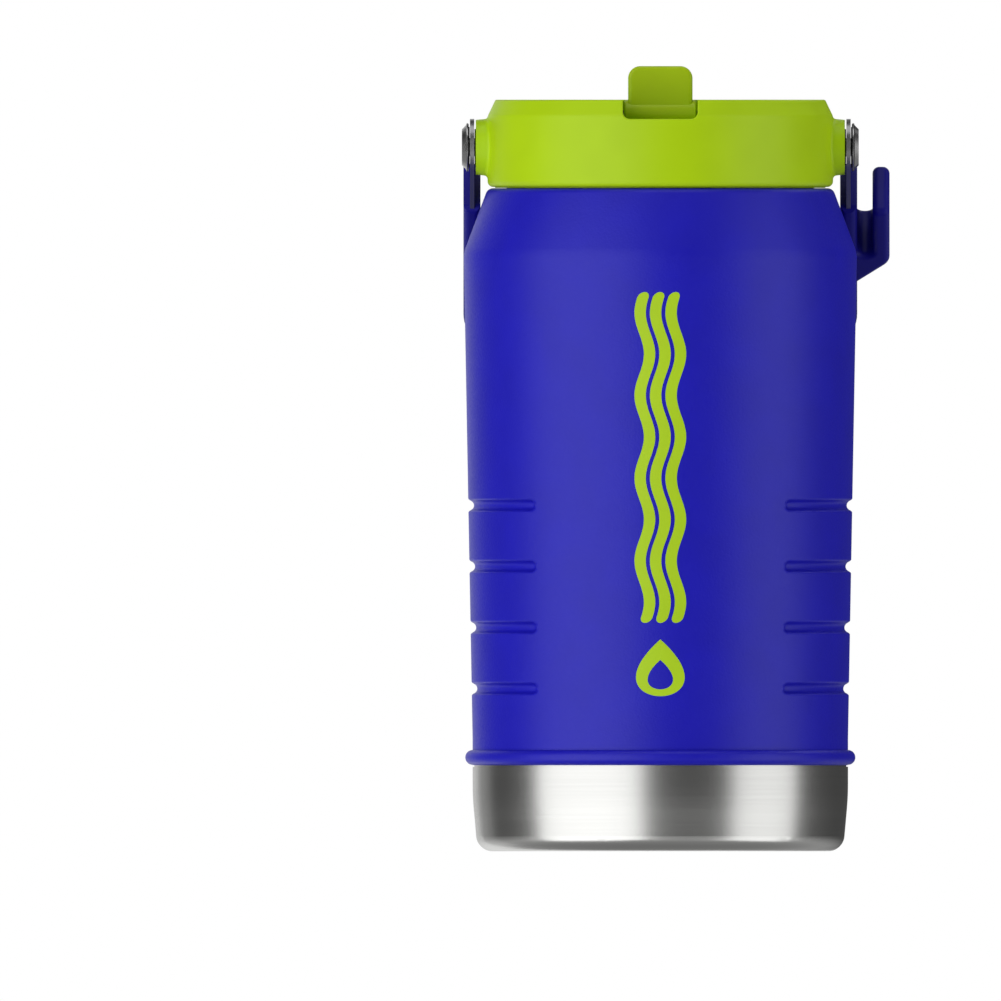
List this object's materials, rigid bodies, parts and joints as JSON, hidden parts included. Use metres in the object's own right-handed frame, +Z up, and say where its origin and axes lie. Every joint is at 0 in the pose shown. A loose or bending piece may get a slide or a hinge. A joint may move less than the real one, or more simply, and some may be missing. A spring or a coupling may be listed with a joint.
{
  "type": "large insulated water jug",
  "caption": "Large insulated steel water jug with a screw lid, flip-up straw spout, folding bail handle with a fence hook, grooved grip flanks and a bare steel base.",
  "frame": {"origin": "centre of the foot, on the plane the jug stands on", "axes": "+Z up along the jug's axis, -Y to the front where the spout and notch are, +X to the side with the fence hook; the handle is folded back towards +Y"},
  "size_m": [0.1401, 0.1521, 0.2572],
  "materials": {
    "blue_powder_coat": "satin",
    "brushed_steel": "satin",
    "polished_steel": "gloss",
    "lime_plastic": "satin",
    "blue_plastic": "satin",
    "black_nylon": "matte",
    "silicone": "matte",
    "brass": "satin",
    "foam": "matte",
    "straw_plastic": "satin"
  },
  "bodies": {
    "bottle": {"outer_shell": "blue_powder_coat", "inner_liner": "brushed_steel", "base_cup": "brushed_steel", "vacuum_seal_disc": "brushed_steel", "getter_capsule": "brushed_steel"},
    "gasket": {"lid_gasket": "silicone"},
    "lid": {"lid_cap": "lime_plastic", "lid_inner_cap": "lime_plastic", "lid_foam": "foam", "port_o_ring": "silicone", "vent_valve": "silicone", "spout_seal": "silicone", "straw": "straw_plastic", "right_pivot_insert": "brass", "left_pivot_insert": "brass", "right_inner_washer": "black_nylon", "left_inner_washer": "black_nylon", "right_outer_washer": "black_nylon", "left_outer_washer": "black_nylon", "right_pivot_screw": "polished_steel", "left_pivot_screw": "polished_steel"},
    "handle": {"carry_handle": "blue_plastic", "right_handle_tab": "brushed_steel", "left_handle_tab": "brushed_steel"},
    "spout": {"flip_spout": "lime_plastic", "right_spout_pin": "polished_steel", "left_spout_pin": "polished_steel"}
  },
  "joints": [
    {"name": "lid_lift", "type": "slide", "parent": "bottle", "child": "gasket", "axis": [0, 0, 1], "range_m": [0, 0.235]},
    {"name": "lid_turn", "type": "hinge", "parent": "gasket", "child": "lid", "pos_m": [0, 0, 0.2322], "axis": [0, 0, 1], "range_deg": [0, 450]},
    {"name": "handle_swing", "type": "hinge", "parent": "lid", "child": "handle", "pos_m": [0, 0, 0.2306], "axis": [1, 0, 0], "range_deg": [0, 256]},
    {"name": "spout_flip", "type": "hinge", "parent": "lid", "child": "spout", "pos_m": [0, -0.03, 0.2415], "axis": [1, 0, 0], "range_deg": [0, 90]}
  ]
}
